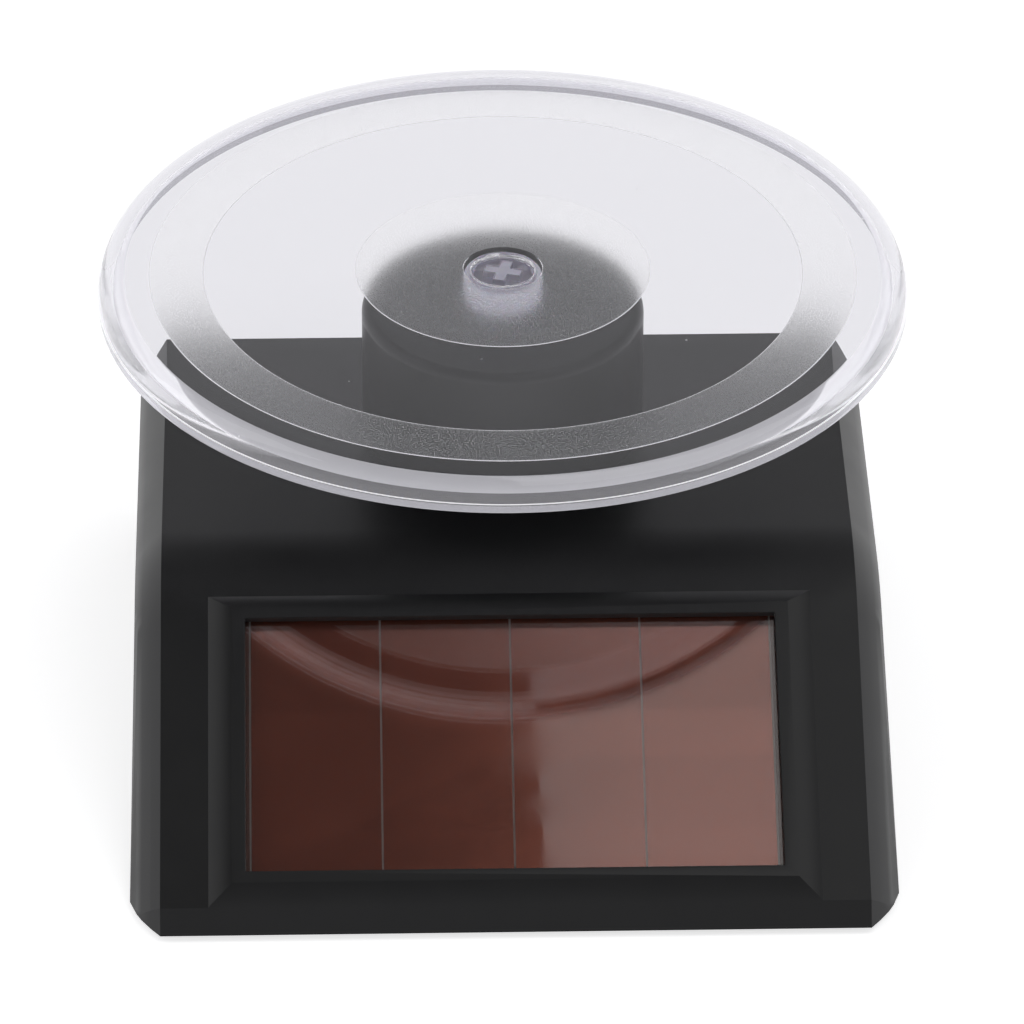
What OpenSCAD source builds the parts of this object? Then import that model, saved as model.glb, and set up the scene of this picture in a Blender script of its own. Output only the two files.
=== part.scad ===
// Turntable display stand: a clear plastic plate turned by a small geared motor in a wedge-shaped housing,
// run from a solar panel in the sloping face or from one AA cell.
// The origin is on the ground under the middle of the whole stand.
// +X is right, +Y to the back, +Z up, in millimetres.
// Every piece is drawn round the turntable's axis, from the housing's lower edge up, and then put in place.

/* [Housing] */
// Width of the flat top and of the sloping face
deck_w = 88.6; // [86:0.2:92]
// Width of the housing where it meets the ground
foot_w = 96.4; // [96:0.2:99]
// Distance from the turntable axis back to the rear wall
rear_y = 21.3; // [21:0.1:24]
// Distance from the turntable axis forward to the front edge
front_y = 76.5; // [76:0.5:80]
// Height of the flat top above the housing's lower edge
deck_h = 25.5; // [25:0.1:26.5]
// Height of the front lip
lip_h = 2.85; // [2.6:0.05:3.2]
// Lean of the front lip back from upright, in degrees
lip_lean = 35; // [30:1:36]
// Slope of the face that holds the panel, in degrees
slope = 28; // [27.5:0.1:28.5]
// Radius between the flat top and the sloping face
blend_r = 32; // [20:1:36]
// Thickness of the housing's walls
wall = 2; // [1.8:0.1:2.2]

/* [Tower] */
// Outer radius of the round tower
tower_r = 18.3; // [18:0.1:19]
// Height of the tower's top above the housing's lower edge
tower_h = 44; // [43.8:0.1:44.2]
// Radius of the tower's rounded top edge
tower_edge_r = 1.3; // [0.8:0.1:1.6]

/* [Panel] */
// Width of the window in the panel frame
window_w = 67.2; // [66:0.1:67.6]
// Length of the window along the slope
window_l = 35.6; // [35:0.1:36]
// Height of the panel frame above the sloping face
frame_rise = 1.4; // [1.2:0.1:1.6]
// Thickness of the panel's glass
glass_t = 1.1; // [0.9:0.1:1.2]
// Number of cell strips on the panel
cell_count = 4; // [3:1:6]

/* [Turntable] */
// Radius of the plate
plate_r = 52.5; // [52:0.1:54]
// Thickness of the plate's floor
plate_t = 1.5; // [1.3:0.1:1.6]
// Height of the plate's top above the housing's lower edge
plate_top_h = 50.6; // [50.4:0.1:51]
// Outer radius of the plate's rounded edge
plate_edge_r = 2.6; // [2.2:0.1:2.8]
// Radius of the frosted disc in the middle
frost_r = 19.1; // [18:0.1:20]
// Inner radius of the frosted ring
frost_in_r = 38.7; // [38:0.1:40]
// Outer radius of the frosted ring
frost_out_r = 45.8; // [44:0.1:46]
// Turn of the cross-shaped shaft tip, in degrees
cross_turn = -15; // [-45:1:45]
// How far a rubber foot stands below the housing
foot_h = 0.8; // [0.6:0.1:1]

/* [Gears] */
// Module of every gear
gear_m = 0.4; // [0.38:0.01:0.41]
// Teeth of each small gear
small_teeth = 10; // [10:1:10]
// Teeth of each large gear
large_teeth = 30; // [30:1:30]

/* [Hidden] */
$fn = 64;
eps = 0.01;
axis_y = (front_y - plate_r) / 2;

// Side bevel: steps outwards from the deck's edge, and how far each one lies inside the side profile
bevel_out = [0, 2.4, 3.5];
bevel_in = [0, 2.8, 5];
lip_top_y = -front_y + lip_h * tan(lip_lean);

// Sloping face, measured up the slope from the lip's top edge
frame_l = 43.8;
frame_w = 76.6;
ledge_lo = 2.75;
ledge_l = 38.8;
ledge_w = 70.7;
window_lo = 4.35;
ledge_t = 1.05;
tape_t = 0.15;
film_t = 0.15;
panel_w = window_w + 2.8;
panel_l = window_l + 2.4;
panel_lo = window_lo - 1.2;
glass_top = frame_rise - ledge_t - tape_t;
pocket_play = 0.3;
cell_gap = 0.25;

// Levels of the bottom cover
cover_lo = 0.4;
cover_t = 2;
cover_hi = cover_lo + cover_t;
cover_play = 0.3;
pad_h = 2;
screw_at = [[40, 15], [-40, 15], [40.3, -62], [-40.3, -62]];
post_r = 3;
cover_screw_r = 1.1;
screw_seat = 2.6;
foot_at = [[33, 13], [-33, 13], [33, -64], [-33, -64]];
foot_r = 4;
foot_sink = 0.6;

// Battery bay
cell_r = 7.1;
cell_len = 49.5;
nub_r = 2.75;
nub_len = 1;
cell_y = -33;
cell_z = 9.7;
bay_half = 27.5;
bay_w = 15;
bay_wall = 1.2;
bay_end_wall = 1.4;
bay_hi = 13;
contact_t = 0.4;
contact_w = 6.2;
contact_lo = 6;
contact_hi = 14.8;
nub_x = bay_half - contact_t;
cell_end_x = nub_x - nub_len - cell_len;
door_t = 1.5;
door_play = 0.2;
door_axis_x = -bay_half + door_play + door_t / 2;
door_axis_z = cover_lo + door_t / 2;
door_ledge = 1;
tab_off = 4.6;
tab_w = 2.6;
latch_w = 6;

// Slide switch
switch_at = [30, -2];
switch_l = 8.6;
switch_w = 4.3;
switch_h = 4;
knob_travel = 2;
knob_w = 1.7;
pin_pitch = 2.5;

// Gearbox, on two axes that lie one gear distance apart
gear_dist = gear_m * (small_teeth + large_teeth) / 2;
motor_plate_lo = 20;
gear_plate_t = 1.6;
motor_plate_hi = motor_plate_lo + gear_plate_t;
top_plate_lo = 34;
top_plate_hi = top_plate_lo + gear_plate_t;
gear_plate_r = 15.6;
tower_bore_r = 16.5;
pillar_off = 13.9;
pillar_r = 1.6;
pillar_turns = [90, 180, 270];
ear_x = 21.5;
ear_r = 3.2;
pin_r = 0.75;
run_gap = 0.05;
gear_t = 1.6;
stage_lo = 22.8;
stage_pitch = 2.8;
double_h = 4.8;
output_lo = stage_lo + 3 * stage_pitch;
gear_hub_r = 1.4;
half_tooth_large = 180 / large_teeth;
half_tooth_small = 180 / small_teeth;

// Motor
motor_r = 12;
motor_wall = 0.6;
motor_lo = 7;
motor_top_t = 1.2;
cap_lo = 6.6;
cap_hi = 8.4;
motor_nose_r = 3;
motor_screw_y = 8;
tag_x = 7;
tag_lo = 3.6;
pinion_lo = 22.4;
pinion_hi = 25;

// Drive shaft
pin_hi = 38;
spigot_r = 2;
shaft_r = 3;
collar_r = 4.2;
collar_lo = top_plate_hi + 0.1;
collar_hi = 40.8;
tip_h = 48.4;
tip_arm = 2.3;
tip_w = 1.3;
cup_r = 5.1;
cup_in_r = 4.3;
cup_lo = tower_h + 0.4;
cup_hi = 48.05;
cup_floor = 46.3;
bush_r = 4;
bush_flange_r = 5.2;

// Turntable hub, a round boss that drops into the shaft's cup
boss_r = 4.1;
boss_play = 0.12;
frost_depth = 0.12;
rim_step = 0.25;
rim_lo = plate_top_h - 3.95;
rim_in_r = plate_r - 2.5;
plate_lo = plate_top_h - plate_t;

lead_r = 0.55;

// ---------------------------------------------------------------- helpers

// Puts the turntable's axis behind the origin and stands the housing on its feet
module placed()
    translate([0, axis_y, foot_h])
        children();

// A hole or bar of radius r from level z0 to z1
module rod(r, z0, z1)
    translate([0, 0, z0])
        cylinder(r = r, h = z1 - z0);

module box(x0, x1, y0, y1, z0, z1)
    translate([x0, y0, z0])
        cube([x1 - x0, y1 - y0, z1 - z0]);

// Local X across, local Y up the slope, local Z out of the sloping face
module on_slope()
    translate([0, lip_top_y, lip_h])
        rotate([slope, 0, 0])
            children();

// Where the lip's top edge moves when slope and lip are both set d inwards
function lip_corner(d) =
    let (a = [-sin(slope), cos(slope)], b = [-cos(lip_lean), sin(lip_lean)])
    let (v = [lip_top_y, lip_h], p = a * v - d, q = b * v - d, det = a[0] * b[1] - a[1] * b[0])
    [(p * b[1] - q * a[1]) / det, (a[0] * q - b[0] * p) / det];

// Side profile in the YZ plane, set d inwards, with its lower edge at level z0
function side_profile(d, z0) =
    let (corner_y = lip_top_y + (deck_h - lip_h) / tan(slope))
    let (arc_y = corner_y + blend_r * tan(slope / 2), arc_z = deck_h - blend_r, steps = 6)
    let (corner = lip_corner(d), toe_y = corner[0] + (z0 - corner[1]) / tan(slope))
    concat(
        [[rear_y - d, z0], [rear_y - d, deck_h - d]],
        [for (i = [0:steps])
            let (t = slope * i / steps)
            [arc_y - (blend_r - d) * sin(t), arc_z + (blend_r - d) * cos(t)]],
        corner[1] < z0 ? [[toe_y, z0]] : [corner, [corner[0] - (corner[1] - z0) * tan(lip_lean), z0]]
    );

// How far forward the side profile reaches at its lower edge, set d inwards
function toe(d, z0) =
    let (p = side_profile(d, z0))
    p[len(p) - 1][0];

// A thin slice of the side profile at x
module profile_slice(x, d, z0)
    translate([x, 0, 0])
        rotate([90, 0, 90])
            linear_extrude(eps, center = true)
                polygon(side_profile(d, z0));

// The wedge-shaped body, set t inwards on every side but the bottom
module wedge(t, z0)
    hull() {
        for (side = [-1, 1]) {
            for (i = [0:2])
                profile_slice(side * (deck_w / 2 + bevel_out[i] - t * (0.6 + 0.2 * i)), bevel_in[i] + t, z0);
            for (y = [toe(bevel_in[2] + t, z0), rear_y - bevel_in[2] - t])
                translate([side * (foot_w / 2 - t), y, z0 + eps / 2])
                    cube(eps, center = true);
        }
    }

// Gear outline with a tooth on the X axis
function gear_points(teeth) =
    let (r = gear_m * teeth / 2, pitch = 360 / teeth)
    let (radii = [r - 1.2 * gear_m, r, r + 0.8 * gear_m], widths = [0.5, 0.4, 0.18])
    [for (i = [0:teeth - 1], k = [0:5])
        let (j = k < 3 ? k : 5 - k, sign = k < 3 ? -1 : 1)
        let (turn = i * pitch + sign * widths[j] * pitch / 2 * r / radii[j])
        radii[j] * [cos(turn), sin(turn)]];

module gear(teeth, z0, z1)
    translate([0, 0, z0])
        linear_extrude(z1 - z0)
            polygon(gear_points(teeth));

// Large gear below a small one, its hub standing out by below and above
module double_gear(stage, below, above, large_turn, small_turn) {
    z0 = stage_lo + stage * stage_pitch;
    difference() {
        union() {
            rotate([0, 0, large_turn])
                gear(large_teeth, z0, z0 + gear_t);
            rotate([0, 0, small_turn])
                gear(small_teeth, z0 + gear_t, z0 + double_h);
            rod(gear_hub_r, z0 - below, z0 + double_h + above);
        }
        rod(pin_r + run_gap, z0 - 2, z0 + double_h + 2);
    }
}

module cross_bar(arm, w, z0, z1)
    rotate([0, 0, cross_turn])
        for (turn = [0, 90])
            rotate([0, 0, turn])
                box(-arm, arm, -w / 2, w / 2, z0, z1);

// Pan-head screw that points up, its head's top face at z0
module screw(head_r, head_t, shank_r, z0, shank_len)
    union() {
        rod(head_r, z0 - head_t, z0);
        rod(shank_r, z0, z0 + shank_len);
    }

// Rounds a route's corners by cutting them, n times
function rounded(p, n) =
    n == 0 ? p : rounded(concat(
        [p[0]],
        [for (i = [0:len(p) - 2], k = [0, 1])
            if (!(i == 0 && k == 0) && !(i == len(p) - 2 && k == 1))
                k == 0 ? p[i] * 0.75 + p[i + 1] * 0.25 : p[i] * 0.25 + p[i + 1] * 0.75],
        [p[len(p) - 1]]), n - 1);

// Round tube of radius r swept along a route; side_hint must not run along any stretch of it
module tube(path, r, side_hint) {
    sides = 8;
    last = len(path) - 1;
    rings = [for (i = [0:last])
        let (run = path[min(i + 1, last)] - path[max(i - 1, 0)], t = run / norm(run))
        let (u0 = cross(t, side_hint), u = u0 / norm(u0), v = cross(t, u))
        for (k = [0:sides - 1])
            path[i] + r * (cos(360 * k / sides) * u + sin(360 * k / sides) * v)];
    skin = [for (i = [0:last - 1], k = [0:sides - 1])
        let (a = i * sides + k, b = i * sides + (k + 1) % sides)
        [a, a + sides, b + sides, b]];
    ends = [[for (k = [0:sides - 1]) k], [for (k = [0:sides - 1]) (last + 1) * sides - 1 - k]];
    polyhedron(points = rings, faces = concat(skin, ends));
}

// ---------------------------------------------------------------- housing

module panel_frame()
    on_slope()
        hull() {
            translate([-frame_w / 2, 0, -0.8])
                cube([frame_w, frame_l, 0.8]);
            translate([-ledge_w / 2, ledge_lo, frame_rise - eps])
                cube([ledge_w, ledge_l, eps]);
        }

module tower_shape()
    rotate_extrude($fn = 96)
        polygon(concat(
            [[0, deck_h - wall], [tower_r, deck_h - wall]],
            [for (i = [0:6])
                let (t = 15 * i)
                [tower_r - tower_edge_r * (1 - cos(t)), tower_h - tower_edge_r * (1 - sin(t))]],
            [[0, tower_h]]
        ));

module housing_posts()
    intersection() {
        union() {
            for (at = screw_at)
                translate(at)
                    rod(post_r, cover_hi + pad_h, deck_h);
            for (side = [-1, 1])
                translate([side * ear_x, 0])
                    rod(post_r - 0.2, motor_plate_hi, deck_h);
        }
        wedge(wall / 2, 0);
    }

module top_housing()
    color("#1b1b1c")
        placed()
            difference() {
                union() {
                    difference() {
                        wedge(0, 0);
                        wedge(wall, -1);
                    }
                    panel_frame();
                    tower_shape();
                    housing_posts();
                }
                rod(tower_bore_r, deck_h - wall - 1, tower_h - wall);
                rod(bush_r, tower_h - wall - 1, tower_h + 1);
                on_slope() {
                    box(-window_w / 2, window_w / 2, window_lo, window_lo + window_l, -5, 5);
                    box(-panel_w / 2 - pocket_play, panel_w / 2 + pocket_play,
                        panel_lo - pocket_play, panel_lo + panel_l + pocket_play, -4, frame_rise - ledge_t);
                }
                for (at = screw_at)
                    translate(at)
                        rod(cover_screw_r, 0, screw_seat + 5.2);
                for (side = [-1, 1])
                    translate([side * ear_x, 0])
                        rod(0.9, motor_plate_hi - 1, motor_plate_hi + 2.7);
            }

// ---------------------------------------------------------------- bottom

module bay_walls() {
    reach = bay_half + bay_end_wall;
    half = bay_w / 2;
    for (side = [-1, 1]) {
        box(-reach, reach, cell_y + side * (half + bay_wall / 2) - bay_wall / 2,
            cell_y + side * (half + bay_wall / 2) + bay_wall / 2, cover_hi - 0.5, bay_hi);
        box(side * (bay_half + bay_end_wall / 2) - bay_end_wall / 2,
            side * (bay_half + bay_end_wall / 2) + bay_end_wall / 2,
            cell_y - half - 0.5, cell_y + half + 0.5, cover_hi - 0.5, bay_hi);
    }
}

module switch_clips()
    translate(switch_at)
        for (side = [-1, 1])
            translate([0, side * (switch_w / 2 + 0.5)])
                box(-3, 3, -0.4, 0.4, cover_hi - 0.5, cover_hi + switch_h - 1);

module bottom_cover()
    color("#202021")
        placed()
            difference() {
                union() {
                    intersection() {
                        box(-foot_w / 2, foot_w / 2, -front_y, rear_y, cover_lo, cover_hi);
                        wedge(wall + cover_play, 0);
                    }
                    for (at = screw_at)
                        translate(at)
                            rod(post_r + 1, cover_hi - 0.5, cover_hi + pad_h);
                    bay_walls();
                    switch_clips();
                }
                for (at = screw_at)
                    translate(at) {
                        rod(2.7, 0, screw_seat);
                        rod(1.3, 0, cover_hi + pad_h + 1);
                    }
                for (at = foot_at)
                    translate(at)
                        rod(foot_r, 0, cover_lo + foot_sink);
                // The door's opening, stepped to leave a ledge along both long sides
                box(-bay_half, bay_half, cell_y - bay_w / 2, cell_y + bay_w / 2, 0, cover_lo + door_t + 0.05);
                box(-bay_half, bay_half, cell_y - bay_w / 2 + door_ledge, cell_y + bay_w / 2 - door_ledge,
                    0, cover_hi + 1);
                // Windows for the door's tabs and latch
                for (side = [-1, 1])
                    translate([0, cell_y + side * tab_off])
                        box(-bay_half - bay_end_wall - 1, -bay_half + 1, -tab_w / 2 - 0.3, tab_w / 2 + 0.3,
                            cover_hi, cover_hi + 1.9);
                translate([0, cell_y])
                    box(bay_half - 1, bay_half + 1, -latch_w / 2 - 0.3, latch_w / 2 + 0.3, 0, cover_hi + 2.6);
                // Slot and finger recess for the switch's knob
                translate(switch_at) {
                    box(-4.5, 4.5, -2.5, 2.5, 0, cover_lo + 0.9);
                    box(-(knob_w + knob_travel) / 2 - 0.3, (knob_w + knob_travel) / 2 + 0.3,
                        -knob_w / 2 - 0.15, knob_w / 2 + 0.15, 0, cover_hi + 1);
                }
            }

module cover_screws()
    color("#9a9c9e")
        placed()
            for (at = screw_at)
                translate(at)
                    difference() {
                        screw(2.4, 1.5, cover_screw_r, screw_seat, 5);
                        for (turn = [0, 90])
                            rotate([0, 0, turn])
                                box(-1.4, 1.4, -0.25, 0.25, 0, screw_seat - 0.9);
                    }

module rubber_feet()
    color("#2b2b2b")
        placed()
            for (at = foot_at)
                translate(at)
                    rotate_extrude()
                        polygon([[0, -foot_h], [foot_r - 0.5, -foot_h], [foot_r, 0.4 - foot_h],
                            [foot_r, cover_lo + foot_sink], [0, cover_lo + foot_sink]]);

module battery_door() {
    half = bay_w / 2 - door_play;
    top = cover_lo + door_t;
    color("#202021")
        placed()
            translate([0, cell_y, 0]) {
                box(door_axis_x, bay_half - door_play, -half, half, cover_lo, top);
                translate([door_axis_x, -half, door_axis_z])
                    rotate([-90, 0, 0])
                        cylinder(r = door_t / 2, h = 2 * half);
                for (side = [-1, 1])
                    translate([0, side * tab_off]) {
                        box(-bay_half + door_play, -bay_half + 1.1, -tab_w / 2, tab_w / 2,
                            top - 0.5, cover_hi + 1);
                        box(-bay_half - 1.1, -bay_half + 1.1, -tab_w / 2, tab_w / 2,
                            cover_hi + 0.1, cover_hi + 1);
                    }
                box(bay_half - 1.1, bay_half - 0.4, -latch_w / 2, latch_w / 2, top - 0.5, cover_hi + 1.8);
                box(bay_half - 1.1, bay_half + 0.4, -latch_w / 2, latch_w / 2,
                    cover_hi + 0.1, cover_hi + 0.8);
            }
}

// ---------------------------------------------------------------- turntable

module plate_shape() {
    edge_r = plate_r - rim_step;
    inner_r = plate_edge_r - plate_t;
    rotate_extrude($fn = 128)
        polygon(concat(
            [[0, plate_top_h]],
            [for (i = [0:8])
                let (t = 90 - 11.25 * i)
                [edge_r - plate_edge_r * (1 - cos(t)), plate_top_h - plate_edge_r * (1 - sin(t))]],
            [[edge_r, plate_top_h - 2.8], [plate_r, plate_top_h - 2.8]],
            [[plate_r, rim_lo], [rim_in_r, rim_lo]],
            [for (i = [0:4])
                let (t = 22.5 * i)
                [rim_in_r - inner_r * (1 - cos(t)), plate_lo - inner_r * (1 - sin(t))]],
            [[frost_out_r, plate_lo], [frost_out_r, plate_lo + frost_depth],
                [frost_in_r, plate_lo + frost_depth], [frost_in_r, plate_lo],
                [frost_r, plate_lo], [frost_r, plate_lo + frost_depth],
                [cup_r, plate_lo + frost_depth], [cup_r, plate_lo], [0, plate_lo]]
        ));
}

module turntable_plate()
    color("#e4eaf0", 0.35)
        placed()
            difference() {
                union() {
                    plate_shape();
                    rod(boss_r, cup_floor, plate_lo + 0.5);
                }
                cross_bar(tip_arm + boss_play, tip_w + 2 * boss_play, cup_floor - 1, tip_h + boss_play);
            }

module drive_shaft()
    color("#dcdde4")
        placed()
            difference() {
                union() {
                    rod(spigot_r, output_lo, collar_lo + 0.5);
                    rod(collar_r, collar_lo, collar_hi);
                    rod(shaft_r, collar_hi - 0.5, cup_lo + 0.5);
                    difference() {
                        rod(cup_r, cup_lo, cup_hi);
                        rod(cup_in_r, cup_floor, cup_hi + 1);
                    }
                    cross_bar(tip_arm, tip_w, cup_floor - 0.5, tip_h);
                }
                rod(pin_r, 0, pin_hi);
            }

module output_gear()
    color("#e8e8e6")
        placed()
            difference() {
                union() {
                    gear(large_teeth, output_lo, output_lo + gear_t + 0.2);
                    rod(3.2, output_lo + gear_t, top_plate_lo - 0.2);
                }
                rod(spigot_r, 0, top_plate_lo + 1);
            }

module output_pin()
    color("#b9bcc0")
        placed()
            rod(pin_r, pinion_hi + 0.3, pin_hi);

module tower_bush()
    color("#f0efe9")
        placed()
            difference() {
                union() {
                    rod(bush_r, tower_h - wall - 0.5, tower_h);
                    rod(bush_flange_r, tower_h - wall - 1, tower_h - wall);
                }
                rod(shaft_r + run_gap, 0, tower_h + 1);
            }

// ---------------------------------------------------------------- gearbox

module at_pillars()
    for (turn = pillar_turns)
        rotate([0, 0, turn])
            translate([pillar_off, 0])
                children();

module gearbox_top_plate()
    color("#e9e7df")
        placed()
            difference() {
                union() {
                    rod(gear_plate_r, top_plate_lo, top_plate_hi);
                    at_pillars()
                        rod(pillar_r, motor_plate_hi, top_plate_lo + 0.5);
                }
                rod(spigot_r + run_gap, 0, top_plate_hi + 1);
                translate([gear_dist, 0])
                    rod(pin_r, 0, top_plate_hi + 1);
                at_pillars()
                    rod(0.7, 0, motor_plate_hi + 6);
            }

module motor_plate()
    color("#e9e7df")
        placed()
            difference() {
                union() {
                    rod(gear_plate_r, motor_plate_lo, motor_plate_hi);
                    box(-ear_x, ear_x, -ear_r, ear_r, motor_plate_lo, motor_plate_hi);
                    for (side = [-1, 1])
                        translate([side * ear_x, 0])
                            rod(ear_r, motor_plate_lo, motor_plate_hi);
                }
                rod(motor_nose_r + run_gap, 0, motor_plate_hi + 1);
                translate([gear_dist, 0])
                    rod(pin_r, 0, motor_plate_hi + 1);
                at_pillars()
                    rod(0.85, 0, motor_plate_hi + 1);
                for (side = [-1, 1]) {
                    translate([side * ear_x, 0])
                        rod(1.1, 0, motor_plate_hi + 1);
                    translate([0, side * motor_screw_y])
                        rod(1, 0, motor_plate_hi + 1);
                }
            }

module plate_screws()
    color("#9a9c9e")
        placed()
            for (side = [-1, 1])
                translate([side * ear_x, 0])
                    screw(1.9, 1.2, 0.9, motor_plate_lo, 4.2);

module pillar_screws()
    color("#9a9c9e")
        placed()
            at_pillars()
                screw(1.3, 0.8, 0.7, motor_plate_lo, 7.4);

module gear_axle()
    color("#b9bcc0")
        placed()
            translate([gear_dist, 0])
                rod(pin_r, motor_plate_lo + 0.3, top_plate_hi);

module double_gear_lower()
    color("#f2f1ec")
        placed()
            translate([gear_dist, 0])
                double_gear(0, 1, 0, half_tooth_large, half_tooth_small);

module double_gear_middle()
    color("#f2f1ec")
        placed()
            double_gear(1, 0.1, 0.2, 0, 0);

module double_gear_upper()
    color("#f2f1ec")
        placed()
            translate([gear_dist, 0])
                double_gear(2, 0.6, 0.6, half_tooth_large, half_tooth_small);

// ---------------------------------------------------------------- motor

module motor_can()
    color("#b4b7ba")
        placed()
            difference() {
                union() {
                    rod(motor_r, motor_lo, motor_plate_lo);
                    rod(motor_nose_r, motor_plate_lo - 0.5, motor_plate_hi + 0.4);
                }
                rod(motor_r - motor_wall, 0, motor_plate_lo - motor_top_t);
                rod(pin_r + run_gap, 0, motor_plate_hi + 1);
                for (side = [-1, 1])
                    translate([0, side * motor_screw_y])
                        rod(0.9, motor_plate_lo - 2, motor_plate_lo + 1);
            }

module motor_end_cap()
    color("#e6e4dc")
        placed()
            difference() {
                union() {
                    rod(motor_r - motor_wall, cap_lo, cap_hi);
                    rod(2.2, cap_hi - 0.5, cap_hi + 1.2);
                }
                rod(pin_r + run_gap, cap_lo + 1, cap_hi + 2);
            }

module motor_tags()
    color("#c9a44a")
        placed()
            for (side = [-1, 1])
                translate([side * tag_x, 0])
                    box(-0.2, 0.2, -1, 1, tag_lo, cap_lo);

module motor_shaft()
    color("#b9bcc0")
        placed()
            rod(pin_r, cap_lo + 1.1, pinion_hi);

module motor_pinion()
    color("#c9a44a")
        placed()
            difference() {
                gear(small_teeth, pinion_lo, pinion_hi);
                rod(pin_r, 0, pinion_hi + 1);
            }

module motor_screws()
    color("#9a9c9e")
        placed()
            for (side = [-1, 1])
                translate([0, side * motor_screw_y])
                    union() {
                        rod(1.8, motor_plate_hi, motor_plate_hi + 0.9);
                        rod(0.9, motor_plate_lo - 1.5, motor_plate_hi);
                    }

// ---------------------------------------------------------------- panel

module panel_layer(z0, z1)
    on_slope()
        box(-panel_w / 2, panel_w / 2, panel_lo, panel_lo + panel_l, z0, z1);

module panel_glass()
    color("#5a3a30", 0.6)
        placed()
            panel_layer(glass_top - glass_t, glass_top);

module panel_cells() {
    pitch = (panel_w - 4) / cell_count;
    color("#4a2c22")
        placed()
            on_slope()
                for (i = [0:cell_count - 1])
                    translate([(i - (cell_count - 1) / 2) * pitch, 0])
                        box(-(pitch - cell_gap) / 2, (pitch - cell_gap) / 2,
                            panel_lo + 0.8, panel_lo + panel_l - 0.8,
                            glass_top - glass_t - film_t, glass_top - glass_t);
}

module panel_back_film()
    color("#3a3436")
        placed()
            panel_layer(glass_top - glass_t - 2 * film_t, glass_top - glass_t - film_t);

module panel_tape()
    color("#141414")
        placed()
            difference() {
                panel_layer(glass_top, glass_top + tape_t);
                on_slope()
                    box(-window_w / 2 - 0.1, window_w / 2 + 0.1,
                        window_lo - 0.1, window_lo + window_l + 0.1, -5, 5);
            }

// ---------------------------------------------------------------- battery and switch

// Local +Z runs along +X, from the bay's negative end
module along_bay(x)
    translate([x, cell_y, cell_z])
        rotate([0, 90, 0])
            children();

module aa_cell()
    color("#8f9498")
        placed()
            along_bay(cell_end_x) {
                cylinder(r = cell_r, h = cell_len);
                cylinder(r = nub_r, h = cell_len + nub_len);
            }

module contact_strip(x0, lo)
    box(x0, x0 + contact_t, cell_y - contact_w / 2, cell_y + contact_w / 2, lo, contact_hi);

module positive_contact()
    color("#c3c6c9")
        placed()
            contact_strip(bay_half - contact_t, contact_lo);

module negative_contact()
    color("#c3c6c9")
        placed()
            contact_strip(-bay_half, cell_z - 5.3);

module battery_spring() {
    wire_r = 0.32;
    turns = 3.25;
    x0 = -bay_half + contact_t + wire_r;
    x1 = cell_end_x - wire_r;
    steps = 48;
    color("#c3c6c9")
        placed()
            translate([0, cell_y, cell_z])
                tube([for (i = [0:steps])
                    let (f = i / steps, r = 4.2 - 1.8 * f, t = 360 * turns * f)
                    [x0 + (x1 - x0) * f, r * cos(t), r * sin(t)]], wire_r, [1, 0, 0]);
}

module switch_body()
    color("#c0c3c6")
        placed()
            translate(switch_at)
                difference() {
                    box(-switch_l / 2, switch_l / 2, -switch_w / 2, switch_w / 2,
                        cover_hi, cover_hi + switch_h);
                    box(-(knob_w + knob_travel) / 2 - 0.2, (knob_w + knob_travel) / 2 + 0.2,
                        -knob_w / 2 - 0.1, knob_w / 2 + 0.1, cover_hi - 1, cover_hi + 1.2);
                }

module switch_tags()
    color("#c9a44a")
        placed()
            translate(switch_at)
                for (i = [-1:1])
                    translate([i * pin_pitch, 0])
                        box(-0.4, 0.4, -0.15, 0.15, cover_hi + switch_h, cover_hi + switch_h + 2);

module switch_knob()
    color("#161616")
        placed()
            translate([switch_at[0] - knob_travel / 2, switch_at[1]])
                box(-knob_w / 2, knob_w / 2, -knob_w / 2, knob_w / 2, 0.5, cover_hi + 1.1);

// ---------------------------------------------------------------- leads

tag_z = tag_lo + 1;
tag_face_x = tag_x + 0.25;
contact_z = contact_hi + lead_r + 0.02;
contact_mid_x = bay_half - contact_t / 2;
switch_tag_z = cover_hi + switch_h + 2 + lead_r + 0.02;
solder_y = lip_top_y + 34 * cos(slope);
solder_z = lip_h + 34 * sin(slope) - 2.6;

diode_at = [38, -26, 9];
diode_len = 4.2;
diode_end = diode_len / 2 + 0.05;
solar_plus_a = [[33, solder_y, solder_z], [34.5, solder_y + 1, 14], [37, -38, 10], [38, -32, 9],
    [38, diode_at[1] - diode_end, 9]];
solar_plus_b = [[38, diode_at[1] + diode_end, 9], [38, -20, 9], [37, -8, 10],
    [34.5, -3.5, switch_tag_z], [32.2, -2, switch_tag_z]];
solar_minus = [[-33, solder_y, solder_z], [-34.5, solder_y + 1, 14], [-34, -36, 8], [-31, -20, 5],
    [-20, -10, tag_z], [-13, 0, tag_z], [-tag_face_x, 0, tag_z]];
battery_plus = [[contact_mid_x, cell_y + 1, contact_z], [28, -28, 15.6],
    [29.5, -23, 14.8], [30.8, -12, 11], [30, -5, 10], [30, -2, switch_tag_z]];
battery_minus = [[-contact_mid_x, cell_y + 1, contact_z], [-28, -28, 15.6], [-27.5, -22.5, 14.6],
    [-23, -13, 9], [-18, -6, 7.2], [-12, 0.8, tag_z + 1], [-tag_face_x, 0.8, tag_z + 1]];
switch_to_motor = [
    [27.5, -2, switch_tag_z], [25, -1, 9.4], [20, 0, 6],
    [13, 0, tag_z], [tag_face_x, 0, tag_z]
];

module solar_leads()
    color("#b3231f")
        placed() {
            tube(rounded(solar_plus_a, 2), lead_r, [0.6, -0.1, 0.3]);
            tube(rounded(solar_plus_b, 2), lead_r, [0.3, -0.1, 0.9]);
            tube(rounded(solar_minus, 2), lead_r, [0.3, -0.5, 0.8]);
        }

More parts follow.
